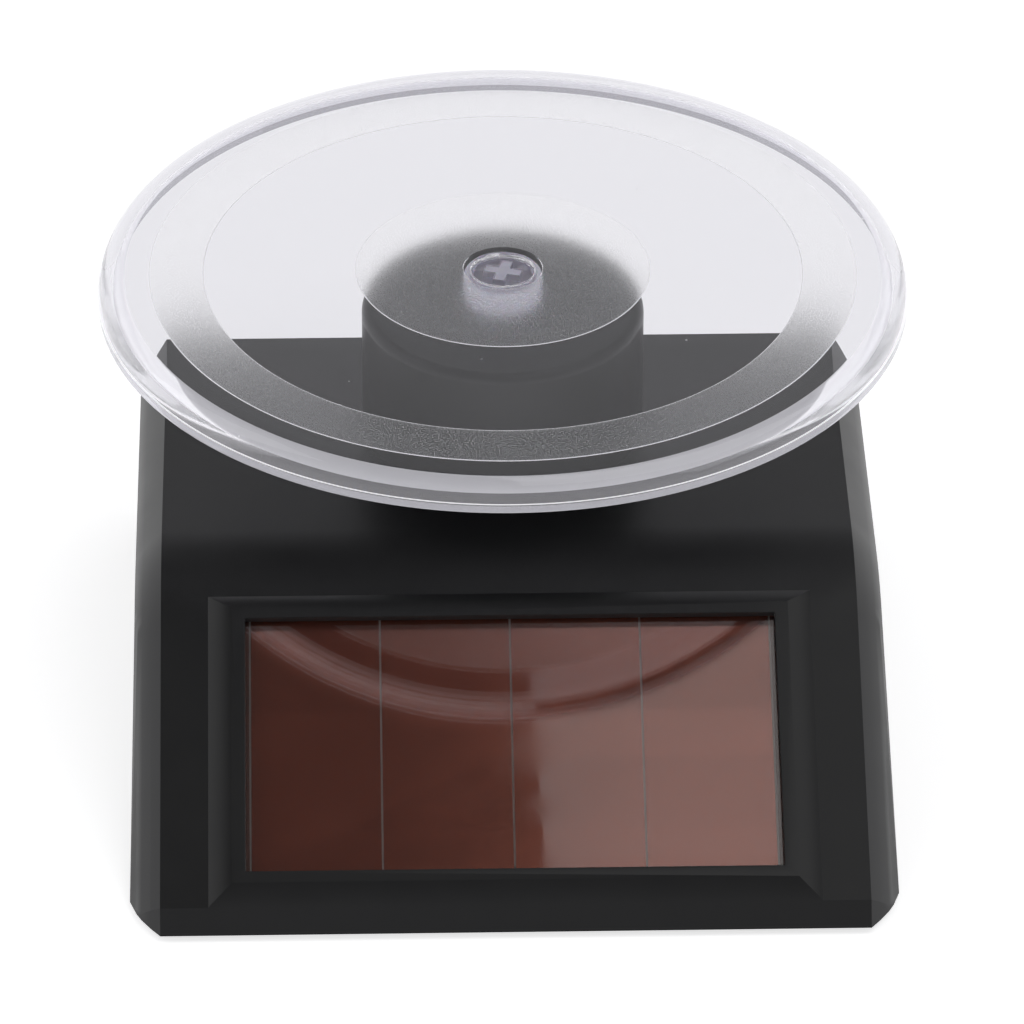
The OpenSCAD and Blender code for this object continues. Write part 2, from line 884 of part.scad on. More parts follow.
module battery_leads()
    color("#1d1d1f")
        placed() {
            tube(rounded(battery_plus, 2), lead_r, [0.9, -0.1, 0.2]);
            tube(rounded(battery_minus, 2), lead_r, [0.2, 0.5, 0.9]);
        }

module motor_lead()
    color("#b3231f")
        placed()
            tube(rounded(switch_to_motor, 2), lead_r, [0.1, 0.9, 0.3]);

module blocking_diode()
    color("#1a1a1c")
        placed()
            translate([diode_at[0], diode_at[1] - diode_len / 2, diode_at[2]])
                rotate([-90, 0, 0])
                    cylinder(r = 1.3, h = diode_len);

top_housing();
bottom_cover();
cover_screws();
rubber_feet();
battery_door();
turntable_plate();
drive_shaft();
output_gear();
output_pin();
tower_bush();
gearbox_top_plate();
motor_plate();
plate_screws();
pillar_screws();
gear_axle();
double_gear_lower();
double_gear_middle();
double_gear_upper();
motor_can();
motor_end_cap();
motor_tags();
motor_shaft();
motor_pinion();
motor_screws();
panel_glass();
panel_cells();
panel_back_film();
panel_tape();
aa_cell();
positive_contact();
negative_contact();
battery_spring();
switch_body();
switch_tags();
switch_knob();
solar_leads();
battery_leads();
motor_lead();
blocking_diode();
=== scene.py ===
import math

import bmesh
import bpy
from mathutils import Matrix, Vector


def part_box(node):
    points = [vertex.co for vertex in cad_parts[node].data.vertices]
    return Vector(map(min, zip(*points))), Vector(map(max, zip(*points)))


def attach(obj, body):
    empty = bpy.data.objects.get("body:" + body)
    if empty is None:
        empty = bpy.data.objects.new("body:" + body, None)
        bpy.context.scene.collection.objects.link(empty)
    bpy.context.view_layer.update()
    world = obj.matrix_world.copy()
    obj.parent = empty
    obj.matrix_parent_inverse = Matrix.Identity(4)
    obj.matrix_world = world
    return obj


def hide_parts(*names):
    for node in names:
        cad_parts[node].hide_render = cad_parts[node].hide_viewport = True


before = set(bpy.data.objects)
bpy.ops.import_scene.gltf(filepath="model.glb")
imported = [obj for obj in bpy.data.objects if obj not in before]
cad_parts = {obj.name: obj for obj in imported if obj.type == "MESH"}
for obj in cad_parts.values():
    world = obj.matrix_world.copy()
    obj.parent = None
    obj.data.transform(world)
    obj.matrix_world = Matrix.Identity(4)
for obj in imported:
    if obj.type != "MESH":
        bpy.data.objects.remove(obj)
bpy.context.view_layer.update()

MM = 0.001

# ---------------------------------------------------------------- places, all from the frame

PLATE_LOW, PLATE_HIGH = (Vector(p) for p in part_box("turntable_plate"))
SHELL_LOW, SHELL_HIGH = (Vector(p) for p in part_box("top_housing"))
# Under the turntable's axis, level with the housing's lower edge
AXIS = Vector(((PLATE_LOW.x + PLATE_HIGH.x) / 2, (PLATE_LOW.y + PLATE_HIGH.y) / 2, SHELL_LOW.z))
PLATE_R = (PLATE_HIGH.x - PLATE_LOW.x) / 2 / MM
PLATE_TOP = (PLATE_HIGH.z - AXIS.z) / MM
FOOT_W = (SHELL_HIGH.x - SHELL_LOW.x) / MM
REAR_Y = (SHELL_HIGH.y - AXIS.y) / MM
FRONT_Y = (SHELL_LOW.y - AXIS.y) / MM
TOWER_H = (SHELL_HIGH.z - AXIS.z) / MM

# ---------------------------------------------------------------- shape, in millimetres round the axis

DECK_W = 88.6
DECK_H = 25.5
LIP_H = 2.85
LIP_LEAN = math.radians(35)
SLOPE = math.radians(28)
BLEND_R = 32
WALL = 2
BEVEL = [(0, 0), (1.25, 1.35), (2.4, 2.8), (3.05, 3.8), (3.5, 5)]
LIP_TOP_Y = FRONT_Y + LIP_H * math.tan(LIP_LEAN)

FRAME_RISE = 1.4
FRAME_L = 43.8
FRAME_W = 76.6
LEDGE_LOW = FRAME_RISE / math.tan(math.pi / 2 - LIP_LEAN - SLOPE)
LEDGE_L = 38.8
LEDGE_W = 70.7
LEDGE_T = 1.05
WINDOW_LOW = 4.35
WINDOW_L = 35.6
WINDOW_W = 67.2
PANEL_LOW = WINDOW_LOW - 1.2
PANEL_L = WINDOW_L + 2.4
PANEL_W = WINDOW_W + 2.8
CELL_COUNT = 4
CELL_PITCH = (PANEL_W - 4) / CELL_COUNT
CELL_GAP = 0.25
POCKET_PLAY = 0.3

TOWER_R = 18.3
TOWER_EDGE_R = 1.3
TOWER_BORE_R = 16.5
BUSH_R = 4

PLATE_T = 1.5
PLATE_EDGE_R = 2.6
RIM_STEP = 0.25
RIM_STEP_DOWN = 2.8
RIM_H = 3.95
RIM_T = 2.5
FROST_R = 19.1
FROST_RING = (38.7, 45.8)
FROST_DEPTH = 0.12
CUP_R = 5.1
CUP_IN_R = 4.3
CUP_LOW = TOWER_H + 0.4
CUP_HIGH = 48.05
CUP_FLOOR = 46.3
STEM_R = 3
COLLAR_R = 4.2
COLLAR = (35.7, 40.8)
SPIGOT_R = 2
SHAFT_CHAMFER = 0.2
PIN_R = 0.75
PIN_BORE_TOP = 38
BOSS_R = 4.1
BOSS_PLAY = 0.12
BOSS_GAP = 0.1
BOSS_CHAMFER = 0.25
TIP_Z = 48.4
CROSS_TURN = math.radians(-15)
CROSS_ARM = 2.3
CROSS_W = 1.3


def at(x, y, z):
    """A point given in millimetres round the axis, in the frame's metres."""
    return AXIS + Vector((x, y, z)) * MM


def up_slope(x, s, h):
    """The same for a point s up the sloping face and h out of it."""
    y = LIP_TOP_Y + s * math.cos(SLOPE) - h * math.sin(SLOPE)
    z = LIP_H + s * math.sin(SLOPE) + h * math.cos(SLOPE)
    return at(x, y, z)


# ---------------------------------------------------------------- camera, stage and light

CAMERA_AT = Vector((-0.0207, -0.8055, 0.5520))
CAMERA_AIM = Vector((0.00045, -0.020, 0.0341))
CAMERA_ROLL = math.radians(-0.22)
CAMERA_LENS = 260.5
FLOOR_HALF = 6
FLOOR_GLOW = 0.66
# How bright the studio is, by the height of the direction looked in: 0 is level and 1 straight up
SKY = [(0.0, 1.0), (0.25, 0.95), (0.45, 0.62), (0.56, 0.5), (0.7, 0.2), (0.85, 0.11), (1.0, 0.09)]
SKY_BLUE = 1.02


def add_camera():
    data = bpy.data.cameras.new("camera")
    data.lens = CAMERA_LENS
    data.sensor_width = 36
    data.clip_start = 0.01
    camera = bpy.data.objects.new("camera", data)
    look = (CAMERA_AIM - CAMERA_AT).to_track_quat("-Z", "Y")
    roll = Matrix.Rotation(-CAMERA_ROLL, 4, "Z")
    camera.matrix_world = Matrix.Translation(CAMERA_AT) @ look.to_matrix().to_4x4() @ roll
    bpy.context.collection.objects.link(camera)
    bpy.context.scene.camera = camera


def node(tree, kind, **values):
    """A shader node, with its properties and its inputs' values set by name."""
    made = tree.nodes.new(kind)
    for key, value in values.items():
        if key in made.bl_rna.properties:
            setattr(made, key, value)
        else:
            made.inputs[key.replace("_", " ")].default_value = value
    return made


def wire(tree, *steps):
    """Links each (node, output) to the (node, input) after it."""
    for (source, output), (target, entry) in steps:
        tree.links.new(source.outputs[output], target.inputs[entry])


def new_material(name, **values):
    """A material with one principled shader, its inputs' values set by name."""
    material = bpy.data.materials.new(name)
    material.use_nodes = True
    tree = material.node_tree
    tree.nodes.clear()
    out = node(tree, "ShaderNodeOutputMaterial")
    shader = node(tree, "ShaderNodeBsdfPrincipled", **values)
    wire(tree, ((shader, 0), (out, "Surface")))
    return material, tree, shader


def add_stage():
    """A pale floor, bright enough in itself to run into the background."""
    material = new_material(
        "pale_floor", Base_Color=(0.8, 0.8, 0.8, 1), Roughness=0.9, Specular_IOR_Level=0.0,
        Emission_Color=(1, 1, 1, 1), Emission_Strength=FLOOR_GLOW)[0]
    bm = bmesh.new()
    bmesh.ops.create_grid(bm, x_segments=1, y_segments=1, size=FLOOR_HALF)
    mesh = bpy.data.meshes.new("floor")
    bm.to_mesh(mesh)
    bm.free()
    mesh.materials.append(material)
    floor = bpy.data.objects.new("floor", mesh)
    bpy.context.collection.objects.link(floor)


def add_world():
    """A pale studio: bright all round at the level of the horizon, darker overhead."""
    world = bpy.data.worlds.new("studio")
    world.use_nodes = True
    tree = world.node_tree
    background = tree.nodes["Background"]
    coords = node(tree, "ShaderNodeTexCoord")
    split = node(tree, "ShaderNodeSeparateXYZ")
    ramp = node(tree, "ShaderNodeValToRGB")
    while len(ramp.color_ramp.elements) < len(SKY):
        ramp.color_ramp.elements.new(0.5)
    for element, (place, level) in zip(ramp.color_ramp.elements, SKY):
        element.position = place
        element.color = (level, level, level * SKY_BLUE, 1)
    wire(tree,
         ((coords, "Generated"), (split, 0)),
         ((split, "Z"), (ramp, 0)),
         ((ramp, 0), (background, "Color")))
    bpy.context.scene.world = world


def add_area(name, place, aim, size, radiance, turn=0.0):
    """A rectangular soft light, turned about its own axis; its power follows from its radiance."""
    data = bpy.data.lights.new(name, "AREA")
    data.shape = "RECTANGLE"
    data.size, data.size_y = size
    data.energy = math.pi * size[0] * size[1] * radiance
    light = bpy.data.objects.new(name, data)
    look = (Vector(aim) - Vector(place)).to_track_quat("-Z", "Y")
    spin = Matrix.Rotation(turn, 4, "Z")
    light.matrix_world = Matrix.Translation(place) @ look.to_matrix().to_4x4() @ spin
    bpy.context.collection.objects.link(light)


# ---------------------------------------------------------------- mesh helpers

SHARP = math.radians(32)
# Faces this close to one plane are made into one
FLAT = math.radians(0.4)


def link_mesh(name, bm, materials):
    """Makes an object from a bmesh, smooth but for its sharp edges."""
    bmesh.ops.recalc_face_normals(bm, faces=bm.faces)
    for face in bm.faces:
        face.smooth = True
    for edge in bm.edges:
        edge.smooth = len(edge.link_faces) == 2 and edge.calc_face_angle(math.pi) < SHARP
    mesh = bpy.data.meshes.new(name)
    bm.to_mesh(mesh)
    bm.free()
    piece = bpy.data.objects.new(name, mesh)
    bpy.context.collection.objects.link(piece)
    for material in materials:
        mesh.materials.append(material)
    modifier = piece.modifiers.new("weighted", "WEIGHTED_NORMAL")
    modifier.keep_sharp = True
    modifier.weight = 100
    return piece


def arc(centre, radius, start, end, steps):
    """Points (r, z) along an arc, angles in degrees from +r towards +z."""
    return [
        (centre[0] + radius * math.cos(math.radians(start + (end - start) * i / steps)),
         centre[1] + radius * math.sin(math.radians(start + (end - start) * i / steps)))
        for i in range(steps + 1)
    ]


def lathe(outline, segments):
    """A bmesh turned round the axis from an outline of (radius, height); points on the axis close it."""
    bm = bmesh.new()
    rings = []
    for r, z in outline:
        count = segments if r > 1e-6 else 1
        rings.append([
            bm.verts.new(at(r * math.cos(t), r * math.sin(t), z))
            for t in (2 * math.pi * k / segments for k in range(count))
        ])
    loop = rings if outline[0][0] <= 1e-6 and outline[-1][0] <= 1e-6 else rings + rings[:1]
    for a, b in zip(loop, loop[1:]):
        for k in range(segments):
            j = (k + 1) % segments
            corners = [a[k % len(a)], b[k % len(b)], b[j % len(b)], a[j % len(a)]]
            corners = [v for i, v in enumerate(corners) if v not in corners[:i]]
            if len(corners) > 2:
                bm.faces.new(corners)
    return bm


def hull(points):
    """The convex solid round some points, as a bmesh with flat sides in one face each."""
    bm = bmesh.new()
    for p in points:
        bm.verts.new(p)
    bmesh.ops.remove_doubles(bm, verts=bm.verts, dist=1e-7)
    made = bmesh.ops.convex_hull(bm, input=bm.verts)
    spare = {g for g in made["geom_interior"] + made["geom_unused"] if isinstance(g, bmesh.types.BMVert)}
    bmesh.ops.delete(bm, geom=list(spare), context="VERTS")
    bmesh.ops.dissolve_limit(bm, angle_limit=FLAT, verts=bm.verts, edges=bm.edges)
    return bm


def box_points(low, high, place):
    """A box's eight corners, put in place by at, up_slope or the like."""
    return [place(x, y, z) for x in (low[0], high[0]) for y in (low[1], high[1]) for z in (low[2], high[2])]


def combine(bm, other, operation, tidy=True):
    """bm united with, or cut by, other; both are closed. Untidy keeps each small face apart."""
    solids = []
    for part in (bm, other):
        mesh = bpy.data.meshes.new("solid")
        bmesh.ops.recalc_face_normals(part, faces=part.faces)
        part.to_mesh(mesh)
        part.free()
        solid = bpy.data.objects.new("solid", mesh)
        bpy.context.collection.objects.link(solid)
        solids.append(solid)
    modifier = solids[0].modifiers.new("combine", "BOOLEAN")
    modifier.operation = operation
    modifier.solver = "EXACT"
    modifier.object = solids[1]
    graph = bpy.context.evaluated_depsgraph_get()
    result = bmesh.new()
    result.from_object(solids[0], graph)
    for solid in solids:
        mesh = solid.data
        bpy.data.objects.remove(solid)
        bpy.data.meshes.remove(mesh)
    bmesh.ops.remove_doubles(result, verts=result.verts, dist=2e-6)
    if tidy:
        bmesh.ops.dissolve_limit(result, angle_limit=FLAT, verts=result.verts, edges=result.edges)
    return result


def round_edges(bm, radius, segments, sharper, chosen):
    """Rounds the chosen edges that are sharper than an angle."""
    edges = [
        e for e in bm.edges
        if len(e.link_faces) == 2 and e.calc_face_angle(0) > sharper and chosen(e)
    ]
    bmesh.ops.bevel(
        bm, geom=edges, offset=radius * MM, offset_type="OFFSET", segments=segments, profile=0.5,
        affect="EDGES", clamp_overlap=True)


def in_order(bm):
    """A copy with its faces in a fixed order; the bevel's own order changes from run to run."""
    bm.verts.index_update()
    loops = []
    for face in bm.faces:
        loop = [v.index for v in face.verts]
        first = loop.index(min(loop))
        loops.append(loop[first:] + loop[:first])
    ordered = bmesh.new()
    verts = [ordered.verts.new(v.co) for v in bm.verts]
    for loop in sorted(loops):
        ordered.faces.new([verts[i] for i in loop])
    bm.free()
    return ordered


# ---------------------------------------------------------------- housing

def side_profile(inset, floor):
    """The housing's side profile set inwards, as (y, z) points from the rear foot over the top to the toe.

    The last corner, between the slope and the lip, is where their two inset lines cross.
    """
    corner_y = LIP_TOP_Y + (DECK_H - LIP_H) / math.tan(SLOPE)
    arc_y = corner_y + BLEND_R * math.tan(SLOPE / 2)
    arc_z = DECK_H - BLEND_R
    steps = 10
    points = [(REAR_Y - inset, floor), (REAR_Y - inset, DECK_H - inset)]
    for i in range(steps + 1):
        t = SLOPE * i / steps
        points.append((arc_y - (BLEND_R - inset) * math.sin(t), arc_z + (BLEND_R - inset) * math.cos(t)))
    a = (-math.sin(SLOPE), math.cos(SLOPE))
    b = (-math.cos(LIP_LEAN), math.sin(LIP_LEAN))
    p = a[0] * LIP_TOP_Y + a[1] * LIP_H - inset
    q = b[0] * LIP_TOP_Y + b[1] * LIP_H - inset
    det = a[0] * b[1] - a[1] * b[0]
    y = (p * b[1] - q * a[1]) / det
    z = (a[0] * q - b[0] * p) / det
    if z < floor:
        points.append((y + (floor - z) / math.tan(SLOPE), floor))
    else:
        points.append((y, z))
        points.append((y - (z - floor) * math.tan(LIP_LEAN), floor))
    return points


def wedge(inset, floor):
    """The housing without tower or frame, set inwards; its side bevels are the hull of its profiles."""
    points = []
    last = len(BEVEL) - 1
    for side in (-1, 1):
        for i, (out, inward) in enumerate(BEVEL):
            x = side * (DECK_W / 2 + out - inset * (0.6 + 0.4 * i / last))
            points += [at(x, y, z) for y, z in side_profile(inward + inset, floor)]
        foot = side_profile(BEVEL[last][1] + inset, floor)
        for y in (foot[0][0], foot[-1][0]):
            points.append(at(side * (FOOT_W / 2 - inset), y, floor))
    return hull(points)


def frame_block():
    """The raised frame, its lower side in one plane with the lip."""
    run = 1 / math.tan(math.pi / 2 - LIP_LEAN - SLOPE)
    half, ledge = FRAME_W / 2, LEDGE_W / 2
    depth = 0.8
    base = [up_slope(x, s, -depth) for x in (-half, half) for s in (-depth * run, FRAME_L)]
    middle = [up_slope(x, s, 0) for x in (-half, half) for s in (0, FRAME_L)]
    top = [up_slope(x, s, FRAME_RISE) for x in (-ledge, ledge) for s in (LEDGE_LOW, LEDGE_LOW + LEDGE_L)]
    return hull(base + middle + top)


def tower_block():
    outline = [(0, DECK_H - WALL), (TOWER_R, DECK_H - WALL)]
    outline += arc((TOWER_R - TOWER_EDGE_R, TOWER_H - TOWER_EDGE_R), TOWER_EDGE_R, 0, 90, 8)
    outline.append((0, TOWER_H))
    return lathe(outline, 128)


def make_housing(material):
    """The black shell: wedge, frame and tower, hollow below, with the window and the panel's pocket."""
    bm = combine(wedge(0, 0), frame_block(), "UNION")
    window = box_points((-WINDOW_W / 2, WINDOW_LOW, -6), (WINDOW_W / 2, WINDOW_LOW + WINDOW_L, 6), up_slope)
    bm = combine(bm, hull(window), "DIFFERENCE")
    half_w = WINDOW_W / 2 * MM + 1e-5
    lip_z = AXIS.z + LIP_H * MM

    def within(edge, half):
        return all(abs(v.co.x - AXIS.x) < half for v in edge.verts)

    def at_foot(edge):
        return all(v.co.z < AXIS.z + 1e-5 for v in edge.verts)

    def on_window(edge):
        return within(edge, half_w) and max(v.co.z for v in edge.verts) > lip_z and not at_foot(edge)

    def outside(edge):
        return not at_foot(edge) and not within(edge, LEDGE_W / 2 * MM + 1e-4)

    round_edges(bm, 0.12, 2, math.radians(60), on_window)
    round_edges(bm, 0.55, 4, math.radians(17), outside)
    bm = combine(in_order(bm), tower_block(), "UNION")
    bm = combine(bm, wedge(WALL, -1), "DIFFERENCE")
    bore = [(0, DECK_H - WALL - 1), (TOWER_BORE_R, DECK_H - WALL - 1), (TOWER_BORE_R, TOWER_H - WALL),
            (BUSH_R, TOWER_H - WALL), (BUSH_R, TOWER_H + 1), (0, TOWER_H + 1)]
    bm = combine(bm, lathe(bore, 96), "DIFFERENCE")
    pocket = box_points(
        (-PANEL_W / 2 - POCKET_PLAY, PANEL_LOW - POCKET_PLAY, -4),
        (PANEL_W / 2 + POCKET_PLAY, PANEL_LOW + PANEL_L + POCKET_PLAY, FRAME_RISE - LEDGE_T), up_slope)
    bm = combine(bm, hull(pocket), "DIFFERENCE")
    piece = link_mesh("housing_shell", bm, [material])
    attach(piece, "base")
    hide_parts("top_housing")


# ---------------------------------------------------------------- materials

CLEAR_TINT = (0.77, 0.765, 0.80, 1)
RIM_TINT = (0.93, 0.925, 0.96, 1)
ACRYLIC_IOR = 1.49
GLASS_IOR = 1.5
GRAIN_DEPTH = 0.00002
RIPPLE_DEPTH = 0.0001
# How much lighter and darker than its colour a surface gets
SHADES = (0.88, 1.12)
# How far a haze varies to either side of its mean
HAZE_SPREAD = 0.015


def grain(tree, shader, scale, bump, roughness, spread):
    """Uneven gloss in soft clouds, and a fine grain in the surface; the clouds come back."""
    coords = node(tree, "ShaderNodeTexCoord")
    cloud = node(tree, "ShaderNodeTexNoise", Scale=scale / 60, Detail=4.0)
    rough = node(tree, "ShaderNodeMapRange", To_Min=roughness - spread, To_Max=roughness + spread)
    fine = node(tree, "ShaderNodeTexNoise", Scale=scale, Detail=3.0)
    raised = node(tree, "ShaderNodeBump", Strength=bump, Distance=GRAIN_DEPTH)
    wire(tree,
         ((coords, "Object"), (cloud, "Vector")),
         ((coords, "Object"), (fine, "Vector")),
         ((cloud, "Fac"), (rough, "Value")),
         ((rough, 0), (shader, "Roughness")),
         ((fine, "Fac"), (raised, "Height")),
         ((raised, 0), (shader, "Normal")))
    return cloud


def surface(name, color, roughness, metallic=0.0, scale=6000.0, bump=0.1, spread=0.05, **values):
    """An opaque finish, a little uneven in colour and gloss."""
    material, tree, shader = new_material(name, Metallic=metallic, **values)
    cloud = grain(tree, shader, scale, bump, roughness, spread)
    shade = node(tree, "ShaderNodeValToRGB")
    for element, level in zip(shade.color_ramp.elements, SHADES):
        element.color = (*(min(1.0, c * level) for c in color), 1)
    wire(tree,
         ((cloud, "Fac"), (shade, 0)),
         ((shade, 0), (shader, "Base Color")))
    return material


def clear_plastic(name):
    """Clear moulded plastic with a slow ripple and a few specks of dust."""
    material, tree, shader = new_material(name, Base_Color=CLEAR_TINT, Transmission_Weight=1, IOR=ACRYLIC_IOR)
    coords = node(tree, "ShaderNodeTexCoord")
    dust = node(tree, "ShaderNodeTexVoronoi", Scale=160.0)
    speck = node(tree, "ShaderNodeMapRange", From_Min=0.035, From_Max=0.02)
    rough = node(tree, "ShaderNodeMapRange", To_Min=0.0, To_Max=0.5)
    flow = node(tree, "ShaderNodeTexNoise", Scale=60.0, Detail=3.0)
    ripple = node(tree, "ShaderNodeBump", Strength=0.02, Distance=RIPPLE_DEPTH)
    wire(tree,
         ((coords, "Object"), (dust, "Vector")),
         ((dust, "Distance"), (speck, "Value")),
         ((speck, 0), (rough, "Value")),
         ((rough, 0), (shader, "Roughness")),
         ((coords, "Object"), (flow, "Vector")),
         ((flow, "Fac"), (ripple, "Height")),
         ((ripple, 0), (shader, "Normal")))
    return material


def frosted_plastic(name):
    """Clear plastic with an etched face: it blurs what lies below, and its grains glow faintly as painted
    glints.
    """
    material, tree, shader = new_material(
        name, Base_Color=(0.98, 0.975, 1.0, 1), IOR=ACRYLIC_IOR, Emission_Color=(0.97, 0.98, 1.0, 1),
        Emission_Strength=0.0)
    coords = node(tree, "ShaderNodeTexCoord")
    speckle = node(tree, "ShaderNodeTexNoise", Scale=5200.0, Detail=1.0, Roughness=0.6)
    steep = node(tree, "ShaderNodeMapRange", From_Min=0.44, From_Max=0.64)
    wire(tree,
         ((coords, "Object"), (speckle, "Vector")),
         ((speckle, "Fac"), (steep, "Value")))
    # The grains' emission is painted glints; their roughness and lower transmission are the etching itself.
    for entry, smooth, grainy in [
            ("Roughness", 0.36, 0.24), ("Transmission Weight", 0.99, 0.80), ("Emission Strength", 0.0, 0.12)]:
        level = node(tree, "ShaderNodeMapRange", To_Min=smooth, To_Max=grainy)
        wire(tree,
             ((steep, 0), (level, "Value")),
             ((level, 0), (shader, entry)))
    return material


def hazy_plastic(name, tint, clearness, roughness, glow):
    """Clear plastic with a haze in it, which stays pale in front of something dark.

    The glow stands for light that runs along inside the plastic and comes out at rough places.
    """
    material, tree, shader = new_material(
        name, Base_Color=tint, IOR=ACRYLIC_IOR, Roughness=roughness,
        Emission_Color=tint, Emission_Strength=glow)
    coords = node(tree, "ShaderNodeTexCoord")
    flow = node(tree, "ShaderNodeTexNoise", Scale=160.0, Detail=1.0, Roughness=0.4)
    through = node(tree, "ShaderNodeMapRange", From_Min=0.3, From_Max=0.7,
                   To_Min=clearness + HAZE_SPREAD, To_Max=clearness - HAZE_SPREAD)
    wire(tree,
         ((coords, "Object"), (flow, "Vector")),
         ((flow, "Fac"), (through, "Value")),
         ((through, 0), (shader, "Transmission Weight")))
    return material


def milky_plastic(name):
    """The shaft's natural nylon, with a painted glow standing for light running in it."""
    # The emission is painted light: a glow for light running inside the nylon.
    material, tree, shader = new_material(
        name, Base_Color=(0.93, 0.92, 1.0, 1), Transmission_Weight=0.2, IOR=1.5,
        Emission_Color=(0.9, 0.88, 1.0, 1), Emission_Strength=0.12,
        Subsurface_Weight=0.3, Subsurface_Scale=0.002)
    grain(tree, shader, 4000.0, 0.15, 0.3, 0.08)
    return material


def colour_by(tree, shader, choice, first, second):
    """One colour where the choice is 0 and another where it is 1."""
    mix = node(tree, "ShaderNodeMix", data_type="RGBA")
    mix.inputs["A"].default_value = (*first, 1)
    mix.inputs["B"].default_value = (*second, 1)
    wire(tree,
         ((choice, 0), (mix, "Factor")),
         ((mix, "Result"), (shader, "Base Color")))


def cell_film(name):
    """Brown under each strip, with a thin pale line where two strips meet."""
    material, tree, shader = new_material(name)
    grain(tree, shader, 5000.0, 0.05, 0.45, 0.05)
    coords = node(tree, "ShaderNodeTexCoord")
    split = node(tree, "ShaderNodeSeparateXYZ")
    shift = node(tree, "ShaderNodeMath", operation="SUBTRACT")
    shift.inputs[1].default_value = AXIS.x
    wave = node(tree, "ShaderNodeMath", operation="PINGPONG")
    wave.inputs[1].default_value = CELL_PITCH * MM / 2
    line = node(tree, "ShaderNodeMath", operation="LESS_THAN")
    line.inputs[1].default_value = CELL_GAP * MM / 2
    wire(tree,
         ((coords, "Object"), (split, 0)),
         ((split, "X"), (shift, 0)),
         ((shift, 0), (wave, 0)),
         ((wave, 0), (line, 0)))
    colour_by(tree, shader, line, (0.12, 0.04, 0.026), (0.42, 0.38, 0.36))
    return material


def two_tone(name, along, place, first, second, roughness, metallic):
    """One colour up to a place along the piece and another beyond it."""
    material, tree, shader = new_material(name, Metallic=metallic)
    grain(tree, shader, 3000.0, 0.05, roughness, 0.04)
    coords = node(tree, "ShaderNodeTexCoord")
    split = node(tree, "ShaderNodeSeparateXYZ")
    beyond = node(tree, "ShaderNodeMath", operation="GREATER_THAN")
    beyond.inputs[1].default_value = place
    wire(tree,
         ((coords, "Object"), (split, 0)),
         ((split, along), (beyond, 0)))
    colour_by(tree, shader, beyond, first, second)
    return material


def panel_glass(name):
    """Clear glass with faint smears in its gloss."""
    material, tree, shader = new_material(
        name, Base_Color=(0.93, 0.9, 0.89, 1), Transmission_Weight=1, IOR=GLASS_IOR)
    coords = node(tree, "ShaderNodeTexCoord")
    smear = node(tree, "ShaderNodeTexNoise", Scale=90.0, Detail=5.0, Distortion=1.0)
    rough = node(tree, "ShaderNodeMapRange", From_Min=0.4, From_Max=0.8, To_Min=0.01, To_Max=0.07)
    wire(tree,
         ((coords, "Object"), (smear, "Vector")),
         ((smear, "Fac"), (rough, "Value")),
         ((rough, 0), (shader, "Roughness")))
    return material


# ---------------------------------------------------------------- turntable

def cross_bars(arm, width, low, high):
    """The two bars of the cross on the shaft's tip, as closed bmeshes."""
    for turn in (0, 90):
        spin = Matrix.Rotation(CROSS_TURN + math.radians(turn), 3, "Z")

        def place(x, y, z):
            flat = spin @ Vector((x, y, 0))
            return at(flat.x, flat.y, z)

        yield hull(box_points((-arm, -width / 2, low), (arm, width / 2, high), place))


def make_plate():
    """The clear disc: rounded edge, turned-down rim with a step, two etched zones and the boss below."""
    edge_r = PLATE_R - RIM_STEP
    step = PLATE_TOP - RIM_STEP_DOWN
    low = PLATE_TOP - PLATE_T
    frost = low + FROST_DEPTH
    inner_r = PLATE_EDGE_R - PLATE_T
    rim_in = PLATE_R - RIM_T
    boss_end = CUP_FLOOR + BOSS_GAP
    ring_in, ring_out = FROST_RING
    outline = [(0, PLATE_TOP)]
    outline += arc((edge_r - PLATE_EDGE_R, PLATE_TOP - PLATE_EDGE_R), PLATE_EDGE_R, 90, 0, 14)
    outline += [(edge_r, step), (PLATE_R, step), (PLATE_R, PLATE_TOP - RIM_H), (rim_in, PLATE_TOP - RIM_H)]
    outline += arc((rim_in - inner_r, low - inner_r), inner_r, 0, 90, 8)
    for inside, outside in ((ring_in, ring_out), (CUP_R, FROST_R)):
        outline += [(outside, low), (outside - FROST_DEPTH, frost),
                    (inside + FROST_DEPTH, frost), (inside, low)]
    outline += [
        (BOSS_R + 0.3, low), (BOSS_R + 0.09, low - 0.09), (BOSS_R, low - 0.3),
        (BOSS_R, boss_end + BOSS_CHAMFER), (BOSS_R - BOSS_CHAMFER, boss_end), (0, boss_end)]
    bm = lathe(outline, 256)
    for slot in cross_bars(CROSS_ARM + BOSS_PLAY, CROSS_W + 2 * BOSS_PLAY, CUP_FLOOR - 1, TIP_Z + BOSS_PLAY):
        bm = combine(bm, slot, "DIFFERENCE", tidy=False)

    def finish(r, z):
        """The place in the list of materials, by where a face's middle is."""
        if abs(z - frost) < 0.01 and (CUP_R < r < FROST_R or ring_in < r < ring_out):
            return 1
        if low + 0.01 < z < frost and r > CUP_R + 1 or abs(z - step) < 0.01 and r > edge_r:
            return 2
        if rim_in - inner_r < r < rim_in + 0.01 and low - inner_r < z < low:
            return 3
        if abs(r - rim_in) < 0.02 and z < low:
            return 4
        return 0

    # The etched step walls, the rim and the rim's inner wall glow a little: painted light for light carried
    # inside the plate.
    piece = link_mesh("clear_plate", bm, [
        clear_plastic("clear_plate"),
        frosted_plastic("frosted_plate"),
        hazy_plastic("frost_edge", (0.98, 0.975, 1.0, 1), 0.1, 0.3, 0.5),
        hazy_plastic("plate_rim", RIM_TINT, 0.5, 0.05, 0.3),
        hazy_plastic("rim_wall", RIM_TINT, 0.8, 0.03, 0.09)])
    for polygon in piece.data.polygons:
        middle = (polygon.center - AXIS) / MM
        polygon.material_index = finish(math.hypot(middle.x, middle.y), middle.z)
    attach(piece, "turntable")
    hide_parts("turntable_plate")


